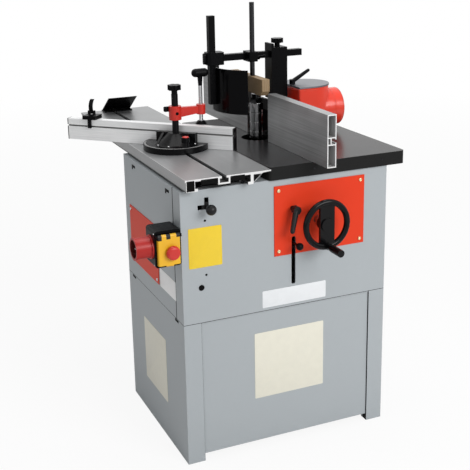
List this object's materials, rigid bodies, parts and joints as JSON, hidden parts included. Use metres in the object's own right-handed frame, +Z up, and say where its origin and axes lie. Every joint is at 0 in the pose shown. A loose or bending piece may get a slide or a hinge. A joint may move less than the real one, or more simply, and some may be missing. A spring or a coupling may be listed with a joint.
{
  "type": "spindle moulder",
  "caption": "Floor-standing spindle moulder: sheet cabinet, table with rising spindle, hooded split fence, sliding table with mitre fence and hold-down, handwheel lift.",
  "frame": {"origin": "middle of the cabinet's footprint on the floor", "axes": "+X to the right seen from the front, +Y towards the back, +Z up"},
  "size_m": [0.855, 1.1783, 1.296],
  "materials": {
    "cabinet_grey": "satin",
    "plate_red": "satin",
    "hood_red": "gloss",
    "table_iron": "ground and painted",
    "steel": "machined",
    "aluminium": "anodised",
    "black_metal": "satin",
    "black_plastic": "satin",
    "black_iron": "painted",
    "grey_iron": "cast",
    "motor_paint": "satin",
    "red_plastic": "gloss",
    "yellow_plastic": "satin",
    "brass": "machined",
    "belt_rubber": "matte",
    "beech": "planed"
  },
  "bodies": {
    "cabinet": {"stand_shell": "cabinet_grey", "stand_front_panel": "cabinet_grey", "upper_cabinet": "cabinet_grey", "control_plate": "plate_red", "side_plate": "plate_red", "main_table": "table_iron", "table_ring": "steel", "guide_rail": "aluminium", "switch_box": "black_plastic", "power_inlet": "red_plastic", "guide_columns": "steel", "column_beams": "black_metal", "drive_bracket": "grey_iron"},
    "carriage": {"carriage": "grey_iron", "spindle_bearings": "steel", "motor": "motor_paint", "drive_belt": "belt_rubber", "lift_nut": "brass"},
    "spindle": {"spindle_shaft": "steel", "spindle_collars": "steel", "spindle_nut": "steel", "spindle_pulley": "aluminium"},
    "motor_drive": {"motor_pulley": "aluminium"},
    "wheel": {"handwheel": "black_plastic", "pinion_shaft": "steel"},
    "grip": {"crank_grip": "black_plastic"},
    "screw": {"lift_screw": "steel"},
    "height_lock": {"height_lock_lever": "black_plastic"},
    "belt_tension": {"belt_lever": "black_metal"},
    "spindle_stop": {"spindle_lock": "black_plastic"},
    "cover": {"switch_cover": "yellow_plastic"},
    "button": {"stop_button": "red_plastic"},
    "slider": {"sliding_table": "aluminium"},
    "edging": {"edging_shoe": "black_metal"},
    "mitre_clamp": {"mitre_lock": "black_plastic"},
    "mitre": {"mitre_head": "black_iron", "mitre_fence": "aluminium", "clamp_column": "black_metal"},
    "hold_arm": {"clamp_arm": "hood_red"},
    "hold_pad": {"clamp_pad": "black_plastic"},
    "hold_screw": {"clamp_screw": "black_metal"},
    "stop_block": {"stop_carrier": "black_plastic"},
    "finger": {"stop_finger": "black_metal"},
    "hood": {"hood_shell": "hood_red", "hood_top": "hood_red", "fence_carrier": "black_metal", "bar_post": "black_metal"},
    "hood_clamp": {"hood_lever": "black_plastic"},
    "infeed": {"infeed_fence": "aluminium"},
    "outfeed": {"outfeed_fence": "aluminium"},
    "bar_clamp": {"bar_knob": "black_plastic"},
    "pressure_bar": {"cross_bar": "black_metal", "guard_clamp": "black_plastic", "shoe_clamp": "black_metal"},
    "guard_screw": {"guard_thumb": "black_plastic"},
    "guard": {"guard_bar": "black_metal", "guard_sheet": "black_plastic"},
    "shoe_screw": {"shoe_lever": "black_plastic"},
    "shoe": {"shoe_rod": "black_metal", "pressure_shoe": "beech"}
  },
  "joints": [
    {"name": "lift", "type": "slide", "parent": "cabinet", "child": "carriage", "axis": [0, 0, 1], "range_m": [-0.1, 0]},
    {"name": "handwheel_turn", "type": "hinge", "parent": "cabinet", "child": "wheel", "pos_m": [0.0935, -0.3125, 0.696], "axis": [0, 1, 0], "range_deg": [-4500, 0]},
    {"name": "lift_screw_turn", "type": "hinge", "parent": "cabinet", "child": "screw", "pos_m": [0.0935, 0.0105, 0.64], "axis": [0, 0, 1], "range_deg": [0, 4500]},
    {"name": "grip_spin", "type": "hinge", "parent": "wheel", "child": "grip", "pos_m": [0.0935, -0.35, 0.634], "axis": [0, 1, 0], "continuous": true},
    {"name": "spindle_spin", "type": "hinge", "parent": "carriage", "child": "spindle", "pos_m": [0.0725, 0.1105, 0.8], "axis": [0, 0, 1], "continuous": true},
    {"name": "motor_spin", "type": "hinge", "parent": "carriage", "child": "motor_drive", "pos_m": [-0.0775, 0.1105, 0.56], "axis": [0, 0, 1], "continuous": true},
    {"name": "height_lock_turn", "type": "hinge", "parent": "cabinet", "child": "height_lock", "pos_m": [0.0135, -0.2525, 0.741], "axis": [0, 1, 0], "range_deg": [-40, 40]},
    {"name": "belt_lever_tilt", "type": "hinge", "parent": "carriage", "child": "belt_tension", "pos_m": [0.0175, 0.0265, 0.635], "axis": [1, 0, 0], "range_deg": [-3, 2]},
    {"name": "spindle_lock_slide", "type": "slide", "parent": "cabinet", "child": "spindle_stop", "axis": [1, 0, 0], "range_m": [-0.02, 0]},
    {"name": "switch_cover_swing", "type": "hinge", "parent": "cabinet", "child": "cover", "pos_m": [-0.3655, -0.2585, 0.715], "axis": [-1, 0, 0], "range_deg": [0, 100]},
    {"name": "stop_button_press", "type": "slide", "parent": "cover", "child": "button", "axis": [0, 1, 0], "range_m": [0, 0.004], "stiffness_N_per_m": 900},
    {"name": "table_slide", "type": "slide", "parent": "cabinet", "child": "slider", "axis": [0, 1, 0], "range_m": [-0.35, 0.25]},
    {"name": "edging_shoe_slide", "type": "slide", "parent": "slider", "child": "edging", "axis": [0, 1, 0], "range_m": [-0.1, 0]},
    {"name": "mitre_swing", "type": "hinge", "parent": "slider", "child": "mitre", "pos_m": [-0.2075, 0.0905, 0.87], "axis": [0, 0, 1], "range_deg": [-15, 60]},
    {"name": "mitre_lock_turn", "type": "hinge", "parent": "slider", "child": "mitre_clamp", "pos_m": [-0.2075, 0.0085, 0.89], "axis": [0, 0, 1], "range_deg": [-90, 90]},
    {"name": "hold_arm_swing", "type": "hinge", "parent": "mitre", "child": "hold_arm", "pos_m": [-0.2075, 0.0905, 0.979], "axis": [0, 0, 1], "range_deg": [-4, 85]},
    {"name": "hold_feed", "type": "slide", "parent": "hold_arm", "child": "hold_pad", "axis": [0, 0, 1], "range_m": [-0.055, 0]},
    {"name": "hold_turn", "type": "hinge", "parent": "hold_pad", "child": "hold_screw", "pos_m": [-0.12164, 0.09545, 1], "axis": [0, 0, 1], "range_deg": [-4950, 0]},
    {"name": "stop_slide", "type": "slide", "parent": "mitre", "child": "stop_block", "axis": [0.7071, -0.7071, 0], "range_m": [0, 0.15]},
    {"name": "stop_flip", "type": "hinge", "parent": "stop_block", "child": "finger", "pos_m": [-0.38993, 0.3394, 0.955], "axis": [-0.7071, 0.7071, 0], "range_deg": [0, 165]},
    {"name": "hood_slide", "type": "slide", "parent": "cabinet", "child": "hood", "axis": [1, 0, 0], "range_m": [0, 0.04]},
    {"name": "infeed_slide", "type": "slide", "parent": "hood", "child": "infeed", "axis": [0, 1, 0], "range_m": [-0.02, 0.045]},
    {"name": "outfeed_slide", "type": "slide", "parent": "hood", "child": "outfeed", "axis": [0, 1, 0], "range_m": [-0.045, 0.02]},
    {"name": "hood_lever_turn", "type": "hinge", "parent": "hood", "child": "hood_clamp", "pos_m": [0.1998, 0.1105, 1.035], "axis": [0, 0, 1], "range_deg": [-60, 60]},
    {"name": "bar_knob_turn", "type": "hinge", "parent": "hood", "child": "bar_clamp", "pos_m": [0.1468, 0.1105, 1.16], "axis": [0, 0, 1], "range_deg": [-90, 90]},
    {"name": "pressure_bar_slide", "type": "slide", "parent": "hood", "child": "pressure_bar", "axis": [1, 0, 0], "range_m": [0, 0.018]},
    {"name": "guard_thumb_turn", "type": "hinge", "parent": "pressure_bar", "child": "guard_screw", "pos_m": [-0.095, 0.1105, 1.131], "axis": [1, 0, 0], "range_deg": [-90, 90]},
    {"name": "guard_slide", "type": "slide", "parent": "pressure_bar", "child": "guard", "axis": [0, 0, 1], "range_m": [-0.025, 0]},
    {"name": "shoe_lever_turn", "type": "hinge", "parent": "pressure_bar", "child": "shoe_screw", "pos_m": [0.064, 0.0865, 1.126], "axis": [1, 0, 0], "range_deg": [-40, 40]},
    {"name": "shoe_slide", "type": "slide", "parent": "pressure_bar", "child": "shoe", "axis": [0, 0, 1], "range_m": [-0.01, 0.03]}
  ],
  "couplings": [
    {"joint": "handwheel_turn", "follows": "lift", "rad_per_m": 785.4},
    {"joint": "lift_screw_turn", "follows": "lift", "rad_per_m": -785.4},
    {"joint": "motor_spin", "follows": "spindle_spin", "ratio": 0.54286},
    {"joint": "hold_turn", "follows": "hold_feed", "rad_per_m": 1570.8}
  ]
}
